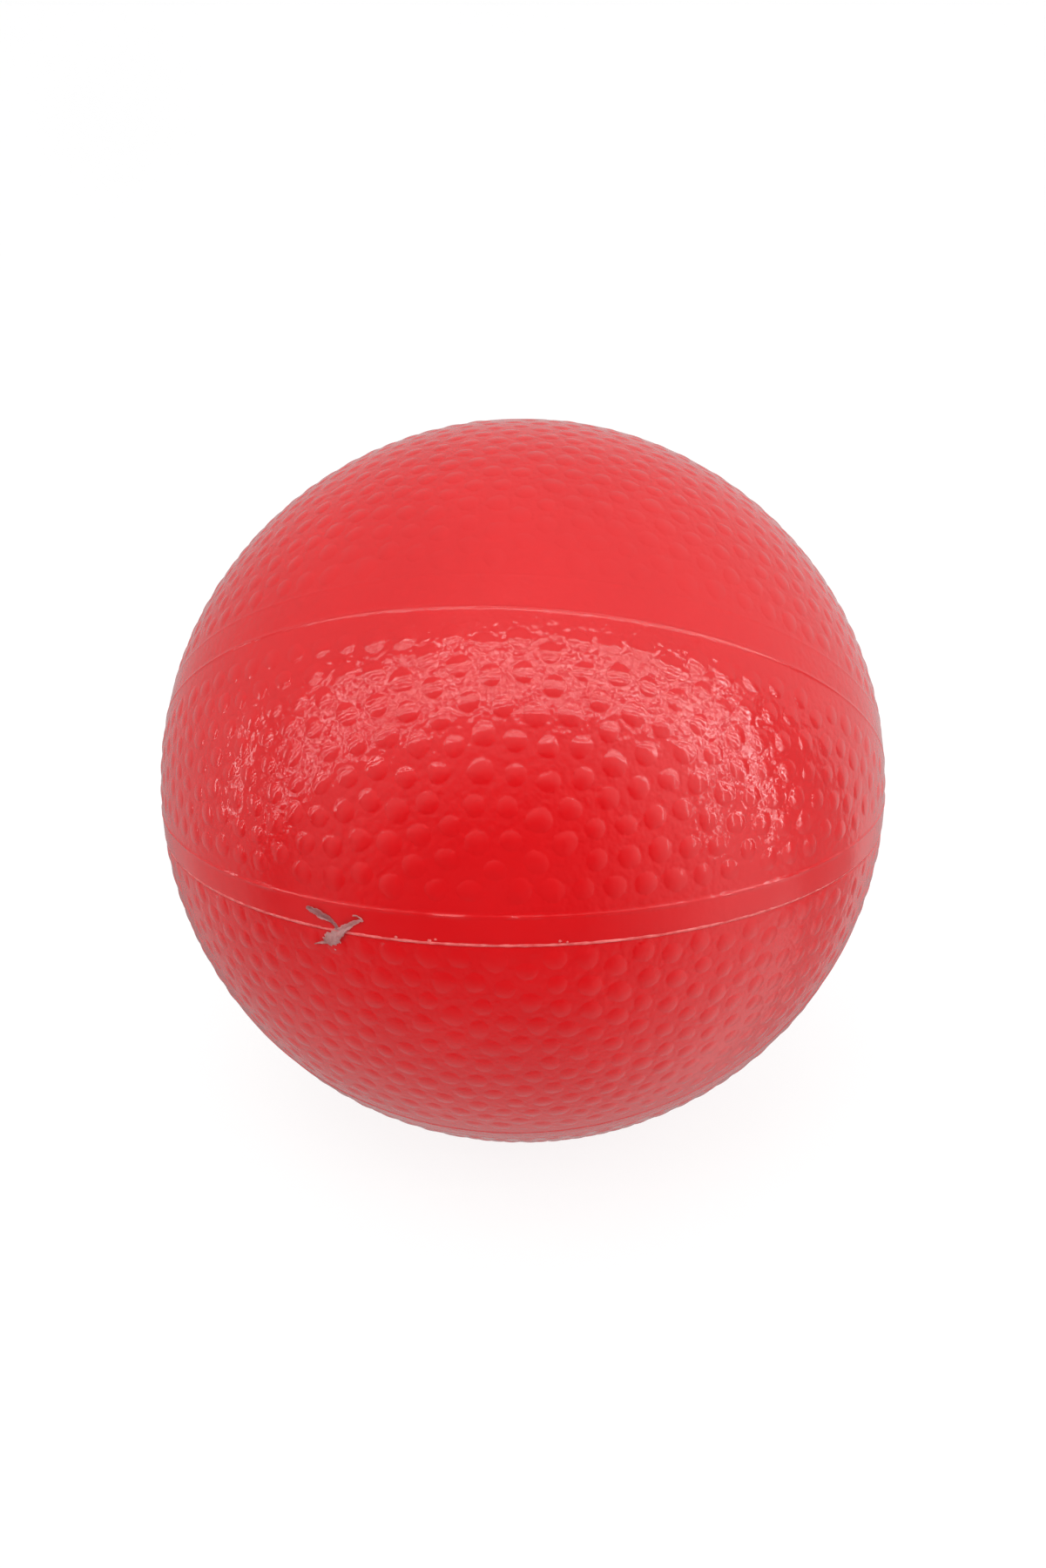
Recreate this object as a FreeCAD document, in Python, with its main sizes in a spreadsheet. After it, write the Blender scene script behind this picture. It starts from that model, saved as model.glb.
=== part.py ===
"""Playground rubber ball, 216 mm across: a moulded cover in two halves, a bladder and a needle valve.

Frame: origin at the ball's centre, +Z up through the valve, the joint between the halves in the plane Z = 0.
The smooth bands run round the ball through the points +X and -X. Millimetres.
"""

import FreeCAD, Part
import math
import os
import Sketcher

DIMENSIONS = {
    # the cover
    "ball_r": 108.0,  # over the tops of the pebbles
    "smooth_r": 107.3,  # over the smooth bands
    "cover_inner_r": 106.2,
    "panel_root_r": 106.7,  # how deep the raised panels are rooted in the cover
    # the smooth bands, each a slab through the centre
    "band_width": 7.9,
    "band_tilt": 40.2,
    "lip_band_top": 6.4,
    "lower_edge_height": 1.0,
    # the lapped joint between the halves
    "lap_depth": 4.0,
    "lap_r": 106.8,
    "cement_gap": 0.05,
    # the flash on the joint
    "flash_height": 0.5,
    "flash_root": 0.35,
    "flash_tip": 0.1,
    # the torn scrap of flash
    "scrap_length": 12.5,
    "scrap_width": 3.4,
    "scrap_thickness": 0.5,
    "scrap_azimuth": -15.6,
    "scrap_slant": 38.0,
    # the bladder
    "bladder_r": 106.1,
    "bladder_inner_r": 105.5,
    # the valve
    "valve_pad_r": 9.5,
    "valve_hole_r": 5.5,
    "seat_r": 5.45,
    "seat_top": 107.1,
    "seat_bottom": 88.0,
    "seat_neck_r": 7.5,
    "seat_foot_r": 6.0,
    "flange_r": 15.0,
    "flange_top_r": 105.45,
    "flange_bottom_r": 104.3,
    "counterbore_r": 4.55,
    "counterbore_floor": 106.0,
    "plug_hole_r": 3.0,
    "plug_head_r": 4.5,
    "plug_top": 107.0,
    "plug_stem_r": 2.97,
    "plug_bottom": 90.0,
    "plug_tip_r": 2.3,
    "plug_tip_height": 0.8,
    "needle_r": 1.0,
    "needle_floor": 93.0,
    "lead_in_r": 1.6,
    "lead_in_depth": 0.6,
}
NODES = ("cover_upper", "cover_lower", "seam_flash", "flash_scrap", "bladder", "valve_seat", "valve_plug")
ORIGIN_POINT = (-1, 1)
H_AXIS = -1
V_AXIS = -2
FULL_TURN = 360.0

doc = FreeCAD.newDocument("playground_ball")
sheet = doc.addObject("Spreadsheet::Sheet", "Sizes")
for row, (alias, size) in enumerate(DIMENSIONS.items(), start=1):
    sheet.set(f"A{row}", alias)
    sheet.set(f"B{row}", str(size))
    sheet.setAlias(f"B{row}", alias)
doc.recompute()


def size(expression):
    """The value of an expression of the sheet's aliases, each written as Sizes.alias."""
    value = sheet.evalExpression(expression)
    return float(getattr(value, "Value", value))


def bind(obj, **expressions):
    """Drives properties of obj from the sheet and returns obj."""
    for name, expression in expressions.items():
        obj.setExpression(name, expression)
    return obj


# ---- primitives and booleans ----


def sphere(label, radius):
    return bind(doc.addObject("Part::Sphere", label), Radius=radius)


def cylinder(label, radius, bottom, height):
    made = bind(doc.addObject("Part::Cylinder", label), Radius=radius, Height=height)
    made.setExpression("Placement.Base.z", bottom)
    return made


def slab(label, bottom, thickness):
    """A flat plate, wider than the ball, from the height bottom up."""
    made = bind(
        doc.addObject("Part::Box", label),
        Length="4 * Sizes.ball_r",
        Width="4 * Sizes.ball_r",
        Height=thickness,
    )
    made.setExpression("Placement.Base.x", "-2 * Sizes.ball_r")
    made.setExpression("Placement.Base.y", "-2 * Sizes.ball_r")
    made.setExpression("Placement.Base.z", bottom)
    return made


def cut(label, base, tool):
    made = doc.addObject("Part::Cut", label)
    made.Base = base
    made.Tool = tool
    return made


def fuse(label, shapes):
    made = doc.addObject("Part::MultiFuse", label)
    made.Shapes = shapes
    return made


def common(label, shapes):
    made = doc.addObject("Part::MultiCommon", label)
    made.Shapes = shapes
    return made


def shell(label, outer, inner):
    return cut(label, sphere(label + "_outside", outer), sphere(label + "_inside", inner))


def tilted_band(label, tilt):
    """A band's slab, on its centre plane, turned about the X axis by tilt degrees."""
    flat = slab(label + "_flat", "-Sizes.band_width / 2", "Sizes.band_width")
    made = doc.addObject("Part::MultiFuse", label)
    made.Shapes = [flat, sphere(label + "_core", "Sizes.cover_inner_r / 2")]
    made.Placement = FreeCAD.Placement(
        FreeCAD.Vector(), FreeCAD.Rotation(FreeCAD.Vector(1, 0, 0), size(tilt))
    )
    made.setExpression("Placement.Rotation.Angle", tilt)
    return made


# ---- the cover ----

base_wall = shell("base_wall", "Sizes.smooth_r", "Sizes.cover_inner_r")
panel_wall = shell("panel_wall", "Sizes.ball_r", "Sizes.panel_root_r")
bands = [
    tilted_band("front_high_band", "-Sizes.band_tilt"),
    tilted_band("front_low_band", "Sizes.band_tilt"),
    tilted_band("upright_band", "90"),
    slab("lip_band", "-Sizes.lower_edge_height", "Sizes.lip_band_top + Sizes.lower_edge_height"),
    cylinder("valve_pad", "Sizes.valve_pad_r", "Sizes.cover_inner_r / 2", "Sizes.ball_r"),
]
panels = cut("panels", panel_wall, fuse("smooth_places", bands))
whole_cover = fuse("whole_cover", [base_wall, panels])

# The upper half keeps a tongue on its inner side, which laps inside the lower half.
above_joint = slab("above_joint", "0", "2 * Sizes.ball_r")
tongue = cylinder("tongue", "Sizes.lap_r", "-Sizes.lap_depth", "2 * Sizes.lap_depth")
upper_space = fuse("upper_space", [above_joint, tongue])
valve_hole = cylinder("valve_hole", "Sizes.valve_hole_r", "Sizes.cover_inner_r / 2", "Sizes.ball_r")
cover_upper = cut("cover_upper", common("upper_half", [whole_cover, upper_space]), valve_hole)

above_joint_again = slab("above_joint_again", "0", "2 * Sizes.ball_r")
rebate = cylinder(
    "rebate", "Sizes.lap_r + Sizes.cement_gap", "-Sizes.lap_depth", "2 * Sizes.lap_depth"
)
cover_lower = cut("cover_lower", whole_cover, fuse("lower_cutaway", [above_joint_again, rebate]))

# ---- the bladder ----

bladder_hole = cylinder("bladder_hole", "Sizes.valve_hole_r", "Sizes.cover_inner_r / 2", "Sizes.ball_r")
bladder = cut("bladder", shell("bladder_wall", "Sizes.bladder_r", "Sizes.bladder_inner_r"), bladder_hole)

# ---- revolved bodies ----


def body_plane(body, role):
    return next(f for f in body.Origin.OriginFeatures if f.Role == role)


class Profile:
    """A closed sketch in a body's XZ plane, whose corners and arcs are bound to the sheet."""

    def __init__(self, body, name):
        self.sketch = body.newObject("Sketcher::SketchObject", name)
        self.sketch.AttachmentSupport = [(body_plane(body, "XZ_Plane"), "")]
        self.sketch.MapMode = "FlatFace"

    def bind_distance(self, kind, edge, end, expression):
        """Holds a corner at a distance along one axis, or on the other axis where that is nought."""
        value = size(expression)
        if abs(value) < 1e-9:
            axis = V_AXIS if kind == "DistanceX" else H_AXIS
            self.sketch.addConstraint(Sketcher.Constraint("PointOnObject", edge, end, axis))
            return
        index = self.sketch.addConstraint(Sketcher.Constraint(kind, *ORIGIN_POINT, edge, end, value))
        self.sketch.setExpression(f"Constraints[{index}]", expression)

    def draw(self, corners):
        """corners: (x, z) or (x, z, radius), radius starting an arc about the origin to the next corner.

        The end corners of an arc give only x, and z follows from the arc.
        """
        count = len(corners)
        points = [self.place(corners, i) for i in range(count)]
        for i, corner in enumerate(corners):
            start, end = points[i], points[(i + 1) % count]
            if len(corner) == 3:
                self.add_arc(start, end, corner[2])
            else:
                self.sketch.addGeometry(Part.LineSegment(start, end))
        for i in range(count):
            after = (i + 1) % count
            self.sketch.addConstraint(
                Sketcher.Constraint("Coincident", i, self.end_of(corners, i), after, self.start_of(corners, after))
            )
        for i, corner in enumerate(corners):
            start = self.start_of(corners, i)
            self.bind_distance("DistanceX", i, start, corner[0])
            if corner[1] is not None:
                self.bind_distance("DistanceY", i, start, corner[1])
            if len(corner) == 3:
                self.sketch.addConstraint(Sketcher.Constraint("Coincident", i, 3, *ORIGIN_POINT))
                index = self.sketch.addConstraint(Sketcher.Constraint("Radius", i, size(corner[2])))
                self.sketch.setExpression(f"Constraints[{index}]", corner[2])
        return self.sketch

    def place(self, corners, i):
        """Corner i in the sketch, with z from the arc that meets it where z isn't given."""
        corner = corners[i]
        x = size(corner[0])
        if corner[1] is not None:
            return FreeCAD.Vector(x, size(corner[1]), 0)
        before = corners[i - 1]
        radius = size(corner[2] if len(corner) == 3 else before[2])
        return FreeCAD.Vector(x, math.sqrt(radius**2 - x**2), 0)

    def add_arc(self, start, end, radius):
        angles = sorted(math.atan2(p.y, p.x) for p in (start, end))
        circle = Part.Circle(FreeCAD.Vector(), FreeCAD.Vector(0, 0, 1), size(radius))
        self.sketch.addGeometry(Part.ArcOfCircle(circle, *angles))

    def runs_backwards(self, corners, i):
        """An arc is stored anticlockwise, so one drawn clockwise starts at its own end point."""
        if len(corners[i]) != 3:
            return False
        start = self.place(corners, i)
        end = self.place(corners, (i + 1) % len(corners))
        return math.atan2(start.y, start.x) > math.atan2(end.y, end.x)

    def start_of(self, corners, i):
        return 2 if self.runs_backwards(corners, i) else 1

    def end_of(self, corners, i):
        return 1 if self.runs_backwards(corners, i) else 2


def turned_body(label, corners):
    """A body turned about the Z axis from one closed profile."""
    body = doc.addObject("PartDesign::Body", label)
    profile = Profile(body, label + "_profile").draw(corners)
    turned = body.newObject("PartDesign::Revolution", label + "_turned")
    turned.Profile = profile
    turned.ReferenceAxis = (profile, ["V_Axis"])
    turned.Angle = FULL_TURN
    body.Tip = turned
    return body


seam_flash = turned_body(
    "seam_flash",
    [
        ("Sizes.smooth_r", "-Sizes.flash_root"),
        ("Sizes.smooth_r + Sizes.flash_height", "-Sizes.flash_tip"),
        ("Sizes.smooth_r + Sizes.flash_height", "Sizes.flash_tip"),
        ("Sizes.smooth_r", "Sizes.flash_root"),
    ],
)

valve_seat = turned_body(
    "valve_seat",
    [
        ("Sizes.plug_hole_r", "Sizes.seat_bottom"),
        ("Sizes.seat_foot_r", "Sizes.seat_bottom"),
        ("Sizes.seat_neck_r", None, "Sizes.flange_bottom_r"),
        ("Sizes.flange_r", None),
        ("Sizes.flange_r", None, "Sizes.flange_top_r"),
        ("Sizes.seat_r", None),
        ("Sizes.seat_r", "Sizes.seat_top"),
        ("Sizes.counterbore_r", "Sizes.seat_top"),
        ("Sizes.counterbore_r", "Sizes.counterbore_floor"),
        ("Sizes.plug_hole_r", "Sizes.counterbore_floor"),
    ],
)

valve_plug = turned_body(
    "valve_plug",
    [
        ("0", "Sizes.plug_bottom"),
        ("Sizes.plug_tip_r", "Sizes.plug_bottom"),
        ("Sizes.plug_stem_r", "Sizes.plug_bottom + Sizes.plug_tip_height"),
        ("Sizes.plug_stem_r", "Sizes.counterbore_floor"),
        ("Sizes.plug_head_r", "Sizes.counterbore_floor"),
        ("Sizes.plug_head_r", "Sizes.plug_top"),
        ("Sizes.lead_in_r", "Sizes.plug_top"),
        ("Sizes.needle_r", "Sizes.plug_top - Sizes.lead_in_depth"),
        ("Sizes.needle_r", "Sizes.needle_floor"),
        ("0", "Sizes.needle_floor"),
    ],
)

# ---- the torn scrap of flash ----

# The outline of the scrap in its own plane, as shares of its length and width.
SCRAP_OUTLINE = (
    (-0.50, 0.10),
    (-0.34, -0.32),
    (-0.10, -0.50),
    (0.14, -0.30),
    (0.36, -0.42),
    (0.50, -0.05),
    (0.30, 0.20),
    (0.12, 0.50),
    (-0.16, 0.28),
    (-0.36, 0.42),
)
flash_scrap = doc.addObject("PartDesign::Body", "flash_scrap")
outline = flash_scrap.newObject("Sketcher::SketchObject", "flash_scrap_outline")
outline.AttachmentSupport = [(body_plane(flash_scrap, "XZ_Plane"), "")]
outline.MapMode = "FlatFace"
scrap_corners = [
    (f"{along} * Sizes.scrap_length", f"{across} * Sizes.scrap_width") for along, across in SCRAP_OUTLINE
]
for i, (x, z) in enumerate(scrap_corners):
    next_x, next_z = scrap_corners[(i + 1) % len(scrap_corners)]
    outline.addGeometry(
        Part.LineSegment(
            FreeCAD.Vector(size(x), size(z), 0), FreeCAD.Vector(size(next_x), size(next_z), 0)
        )
    )
for i, corner in enumerate(scrap_corners):
    outline.addConstraint(Sketcher.Constraint("Coincident", i, 2, (i + 1) % len(scrap_corners), 1))
    for kind, expression in zip(("DistanceX", "DistanceY"), corner, strict=True):
        index = outline.addConstraint(Sketcher.Constraint(kind, *ORIGIN_POINT, i, 1, size(expression)))
        outline.setExpression(f"Constraints[{index}]", expression)
sheet_of_flash = flash_scrap.newObject("PartDesign::Pad", "flash_scrap_sheet")
sheet_of_flash.Profile = outline
sheet_of_flash.setExpression("Length", "Sizes.scrap_thickness")
flash_scrap.Tip = sheet_of_flash
# It is laid on the ball at its azimuth from -Y, and turned about its own normal.
azimuth = FreeCAD.Rotation(FreeCAD.Vector(0, 0, 1), size("Sizes.scrap_azimuth"))
slant = FreeCAD.Rotation(FreeCAD.Vector(0, -1, 0), size("Sizes.scrap_slant"))
resting = azimuth.multVec(FreeCAD.Vector(0, -size("Sizes.ball_r"), 0))
flash_scrap.Placement = FreeCAD.Placement(resting, azimuth.multiply(slant))

doc.recompute()

# ---- checks and export ----

for obj in doc.Objects:
    bad = [state for state in obj.State if state in ("Invalid", "Error")]
    if bad:
        raise RuntimeError(f"{obj.Name} is {bad}")

os.makedirs("parts", exist_ok=True)
for name in NODES:
    node = doc.getObject(name)
    shape = node.Shape
    if shape.isNull() or not shape.isValid() or len(shape.Solids) != 1:
        raise RuntimeError(f"{name} isn't one valid solid")
    box = shape.BoundBox
    print(
        f"{name}: {shape.Volume / 1000:.3f} cm3, x {box.XMin:.3f}..{box.XMax:.3f},"
        f" y {box.YMin:.3f}..{box.YMax:.3f}, z {box.ZMin:.3f}..{box.ZMax:.3f}"
    )
    node.Label = name
    shape.exportStep(os.path.join("parts", name + ".step"))
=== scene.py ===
import math

import bmesh
import bpy
import numpy as np
from mathutils import Matrix, Vector
from mathutils.geometry import delaunay_2d_cdt


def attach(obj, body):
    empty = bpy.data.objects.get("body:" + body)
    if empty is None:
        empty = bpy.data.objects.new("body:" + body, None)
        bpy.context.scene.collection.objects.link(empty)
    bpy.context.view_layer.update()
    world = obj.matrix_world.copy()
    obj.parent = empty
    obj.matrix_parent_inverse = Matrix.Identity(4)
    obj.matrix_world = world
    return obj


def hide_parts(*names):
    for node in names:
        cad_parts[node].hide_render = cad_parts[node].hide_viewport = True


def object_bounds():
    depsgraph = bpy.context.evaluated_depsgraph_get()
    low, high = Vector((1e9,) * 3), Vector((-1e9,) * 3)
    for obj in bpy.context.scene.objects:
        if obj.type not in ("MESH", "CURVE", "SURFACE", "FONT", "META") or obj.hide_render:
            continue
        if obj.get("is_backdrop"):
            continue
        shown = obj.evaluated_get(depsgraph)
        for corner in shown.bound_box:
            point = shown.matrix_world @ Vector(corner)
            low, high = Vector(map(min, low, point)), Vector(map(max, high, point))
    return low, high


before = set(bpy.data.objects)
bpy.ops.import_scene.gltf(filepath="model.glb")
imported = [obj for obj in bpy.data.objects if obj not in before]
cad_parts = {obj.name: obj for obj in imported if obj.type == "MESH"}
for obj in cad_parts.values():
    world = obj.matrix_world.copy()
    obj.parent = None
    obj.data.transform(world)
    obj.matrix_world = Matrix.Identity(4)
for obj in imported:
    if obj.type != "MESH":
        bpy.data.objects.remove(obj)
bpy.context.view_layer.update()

# ---- the ball's sizes, in millimetres ----

# +Z runs through the valve, the joint is at z = 0, and the bands cross at +X and -X.
MM = 0.001
BALL_R = 108.0  # the CAD cover, an envelope over the pebbles
SMOOTH_R = 107.3  # over the smooth bands
INNER_R = 106.2
BAND_HALF = 3.95
BAND_TILT = 40.2  # degrees above and below the front
LIP_TOP = 6.4
HOLE_R = 5.5
PAD_R = 9.5  # the smooth pad round the valve hole

PEBBLE_PITCH = 6.15
PEBBLE_RADIUS = (1.95, 2.75)
PEBBLE_HEIGHT = 0.24
USUAL_RADIUS = 2.6  # a pebble of this radius has the full height

rng = np.random.default_rng(20)


def unit(v):
    return v / np.linalg.norm(v, axis=-1, keepdims=True)


def smooth(x, low, high):
    t = np.clip((x - low) / (high - low), 0, 1)
    return t * t * (3 - 2 * t)


def axis_distance(p):
    """How far unit points are from the Z axis, in mm on the smooth surface."""
    return np.hypot(p[:, 0], p[:, 1]) * SMOOTH_R


def band_normal(tilt):
    """The normal of the plane through the X axis at tilt degrees above the front."""
    a = math.radians(tilt)
    return np.array([0.0, math.sin(a), math.cos(a)])


BAND_NORMALS = [band_normal(t) for t in (BAND_TILT, -BAND_TILT, 90.0)]


def band_distance(p, z_sign):
    """How far unit points are outside the smooth areas, in mm, negative within them."""
    z = p[:, 2] * SMOOTH_R * z_sign
    gaps = [np.abs(p @ n) * SMOOTH_R - BAND_HALF for n in BAND_NORMALS]
    gaps.append(z - LIP_TOP if z_sign > 0 else z)
    if z_sign > 0:
        gaps.append(axis_distance(p) - PAD_R)
    return np.min(gaps, axis=0)


# ---- where the pebbles stand ----

# Each panel lies between two planes through the X axis, and pebble centres keep clear of
# both: a wall is (the plane's tilt in degrees, the clear distance in mm).
SEAM_ABOVE = 11.9
SEAM_BELOW = 3.6
BAND_INSIDE = 10.6
BAND_OUTSIDE = 8.1
UPRIGHT = 8.6
PANELS = (
    ((0.0, SEAM_ABOVE), (BAND_TILT, BAND_INSIDE)),
    ((BAND_TILT, BAND_OUTSIDE), (90.0, UPRIGHT)),
    ((90.0, UPRIGHT), (180 - BAND_TILT, BAND_OUTSIDE)),
    ((180 - BAND_TILT, BAND_INSIDE), (180.0, SEAM_ABOVE)),
    ((-BAND_TILT, BAND_INSIDE), (0.0, SEAM_BELOW)),
    ((-90.0, UPRIGHT), (-BAND_TILT, BAND_OUTSIDE)),
    ((BAND_TILT - 180, BAND_OUTSIDE), (-90.0, UPRIGHT)),
    ((-180.0, SEAM_BELOW), (BAND_TILT - 180, BAND_INSIDE)),
)
PAD_CLEAR = (4.0, 3.4)  # the same from the smooth pad, when the packing starts and ends

DARTS = 9000  # random first places tried in each panel
DART_GAP = 0.80  # the least distance between first places, in pitches
PUSH_REACH = 1.16  # how far apart pebbles still push each other, in pitches
PUSH = 0.22
PUSH_ROUNDS = 40


def keep_in(p, walls):
    """Moves unit points that stand too near a wall out to it."""
    for _ in range(4):
        for normal, clear in walls:
            short = clear / SMOOTH_R - p @ normal
            p = unit(p + np.outer(np.maximum(short, 0), normal))
    return p


def panel_walls(panel):
    (low, low_clear), (high, high_clear) = panel
    return ((band_normal(low), low_clear), (-band_normal(high), high_clear))


def panel_pebbles(panel):
    """Pebble centres in one panel: an uneven close packing, with rows along the panel's edges."""
    walls = panel_walls(panel)
    (low, _), (high, _) = panel
    tilt = np.radians(rng.uniform(low, high, DARTS))
    across = rng.uniform(-1, 1, DARTS)
    ring = np.sqrt(1 - across**2)
    darts = np.stack([across, -ring * np.cos(tilt), ring * np.sin(tilt)], axis=1)
    inside = np.all([darts @ n * SMOOTH_R > c for n, c in walls], axis=0)
    if low >= 0:
        inside &= axis_distance(darts) > PAD_R + PAD_CLEAR[0]
    least = DART_GAP * PEBBLE_PITCH / SMOOTH_R
    kept = np.zeros((0, 3))
    for dart in darts[inside]:
        if len(kept) == 0 or np.min(np.sum((kept - dart) ** 2, axis=1)) > least**2:
            kept = np.vstack([kept, dart])
    reach = PUSH_REACH * PEBBLE_PITCH / SMOOTH_R
    for _ in range(PUSH_ROUNDS):
        apart = kept[:, None, :] - kept[None, :, :]
        distance = np.linalg.norm(apart, axis=2) + np.eye(len(kept))
        push = np.clip(reach / distance - 1, 0, 1) * (distance < reach)
        kept = unit(kept + PUSH * np.sum(apart * push[:, :, None], axis=1))
        kept = keep_in(kept, walls)
    return kept


def all_pebbles():
    """(unit centres, radii in mm, heights in mm) of every pebble."""
    centres = np.vstack([panel_pebbles(panel) for panel in PANELS])
    off_pad = axis_distance(centres) > PAD_R + PAD_CLEAR[1]
    centres = centres[off_pad | (centres[:, 2] < 0)]
    distance = np.linalg.norm(centres[:, None, :] - centres[None, :, :], axis=2) * SMOOTH_R
    distance.sort(axis=1)
    # A pebble fills most of the gap to its four nearest neighbours, and never overlaps one.
    radii = np.clip(0.39 * distance[:, 1:5].mean(axis=1), *PEBBLE_RADIUS)
    radii = np.minimum(radii, 0.45 * distance[:, 1])
    radii *= rng.uniform(0.87, 1.06, len(radii))
    heights = PEBBLE_HEIGHT * (radii / USUAL_RADIUS) * rng.uniform(0.88, 1.06, len(radii))
    return centres, radii, np.minimum(heights, BALL_R - SMOOTH_R - 0.02)


# A pebble's profile: (share of its radius, share of its height, points round).
PEBBLE_FOOT = 1.15
PEBBLE_RINGS = (
    (0.0, 1.0, 1),
    (0.38, 0.85, 6),
    (0.70, 0.49, 10),
    (0.91, 0.15, 12),
    (1.01, -0.08, 12),
    (PEBBLE_FOOT, 0.0, 12),
)


def tangents(p):
    """Two unit vectors square to each unit point."""
    side = unit(np.cross(p, np.where(np.abs(p[:, :1]) < 0.9, [[1.0, 0, 0]], [[0, 1.0, 0]])))
    return side, np.cross(p, side)


def pebble_points(centres, radii, heights):
    """(unit points, heights in mm) of every pebble's rings."""
    side, up = tangents(centres)
    turn = rng.uniform(0, 2 * math.pi, len(centres))
    squash = rng.uniform(0.92, 1.08, len(centres))
    dent = rng.uniform(0, 0.07, len(centres))
    points, raised = [], []
    for share, height, count in PEBBLE_RINGS:
        for step in range(count):
            a = 2 * math.pi * (step + 0.5 * (count == 12)) / count
            reach = radii * share * (1 + dent * math.sin(3 * a)) / SMOOTH_R
            u = reach * np.cos(a) * squash
            v = reach * np.sin(a) / squash
            du = (u * np.cos(turn) - v * np.sin(turn))[:, None]
            dv = (u * np.sin(turn) + v * np.cos(turn))[:, None]
            points.append(unit(centres + side * du + up * dv))
            raised.append(heights * height)
    return np.vstack(points), np.concatenate(raised)


# ---- the cover's two halves ----

# Rows of points along each raised line, by their distance from it in mm.
LINE_ROWS = (-1.0, -0.42, -0.2, 0.0, 0.2, 0.42, 1.0)
LINE_WIDTH = 0.26
# Rows near the joint, by their distance from it, above and below.
LIP_ROWS = (0.3, 0.7, 1.3, 2.4, 3.8)
STEP_ROWS = (0.3, 0.6, 0.9, 1.3)
# Rows round the valve hole, by their distance from its edge.
HOLE_ROWS = (0.0, 0.4, 1.6)
ROW_POINTS = 680
HOLE_POINTS = 64

JOINT_GAP = 0.02  # each half's rim stands this far from z = 0
FILL_SPACING = 2.1  # between the points that fill the rest
FILL_START = (4.6, 1.9)  # how far from the joint they start, above and below
FILL_CLEAR = 1.5  # how far they stay from the raised lines
FILL_PEBBLE_CLEAR = 0.9  # and from the pebbles' feet
CELL = 0.16  # points nearer than about this are one
PEBBLES_AT_ONCE = 200


def circle(normal, offset, count):
    """Unit points round the circle that lies offset mm along the normal from the centre."""
    side, up = tangents(normal[None, :])
    a = 2 * math.pi * (np.arange(count) + 0.5) / count
    shift = offset / SMOOTH_R
    ring = math.sqrt(1 - shift**2)
    return normal * shift + ring * (np.cos(a)[:, None] * side + np.sin(a)[:, None] * up)


def line_height(p, gap, z_sign):
    """The raised thin lines at the bands' edges, in mm.

    The line at the lip's top is uneven, and those on the bands' upper sides are fainter.
    """
    wander = np.sin(p[:, 0] * 37 + 1.3 * np.sin(p[:, 0] * 91)) * np.sin(p[:, 1] * 23 + p[:, 2] * 51)
    near_lip = (np.abs(p[:, 2] * SMOOTH_R - LIP_TOP) < 0.8) & (z_sign > 0)
    strength = np.where(near_lip, 0.17 + 0.08 * wander, 0.16 + 0.02 * wander)
    upper_side = z_sign * p[:, 2] > np.sin(np.radians(BAND_TILT)) * np.sqrt(1 - p[:, 0] ** 2)
    strength = np.where(upper_side & ~near_lip, 0.4 * strength, strength)
    return strength * np.exp(-((gap / LINE_WIDTH) ** 2))


def seam_height(p, z_sign):
    """The lip above the joint and the step down below it, in mm, deeper round the sides."""
    z = p[:, 2] * SMOOTH_R * z_sign
    if z_sign > 0:
        return 0.10 * (1 - smooth(z, LIP_TOP - 0.4, LIP_TOP + 0.4))
    sides = smooth(np.abs(p[:, 0]), 0.55, 0.85)
    return -(0.10 + 0.30 * sides) * (1 - smooth(z, 0.3, 1.1))


def fill_points(spacing):
    """Unit points spread evenly over the whole sphere."""
    count = int(4 * math.pi * SMOOTH_R**2 / (0.87 * spacing**2))
    i = np.arange(count) + 0.5
    z = 1 - 2 * i / count
    turn = math.pi * (1 + math.sqrt(5)) * i
    ring = np.sqrt(1 - z * z)
    return np.stack([ring * np.cos(turn), ring * np.sin(turn), z], axis=1)


def band_rows(z_sign):
    """Rows of points along the raised lines at the bands' edges, cut off where bands cross."""
    rows = []
    for normal in BAND_NORMALS:
        for side in (-1, 1):
            for d in LINE_ROWS:
                row = circle(normal, side * (BAND_HALF + d), ROW_POINTS)
                others = [n for n in BAND_NORMALS if n is not normal]
                off_others = np.min([np.abs(row @ n) * SMOOTH_R for n in others], axis=0)
                clear = off_others > BAND_HALF + 1.4
                z = row[:, 2] * z_sign * SMOOTH_R
                clear &= z > (LIP_TOP + 1.6 if z_sign > 0 else 1.8)
                if z_sign > 0:
                    clear &= axis_distance(row) > PAD_R + 1.6
                rows.append(row[clear])
    return rows


def fill_between(z_sign, centres, radii):
    """Evenly spread points over the areas that no row and no pebble takes up."""
    fill = fill_points(FILL_SPACING)
    fill = fill[fill[:, 2] * z_sign * SMOOTH_R > FILL_START[z_sign < 0]]
    fill = fill[np.abs(band_distance(fill, z_sign)) > FILL_CLEAR]
    if z_sign > 0:
        fill = fill[axis_distance(fill) > HOLE_R + 2.2]
    nearest = np.full(len(fill), np.inf)
    for start in range(0, len(centres), PEBBLES_AT_ONCE):
        chunk = slice(start, start + PEBBLES_AT_ONCE)
        gap = np.linalg.norm(fill[:, None, :] - centres[None, chunk, :], axis=2) * SMOOTH_R
        nearest = np.minimum(nearest, (gap - PEBBLE_FOOT * radii[chunk]).min(axis=1))
    return fill[nearest > FILL_PEBBLE_CLEAR]


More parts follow.
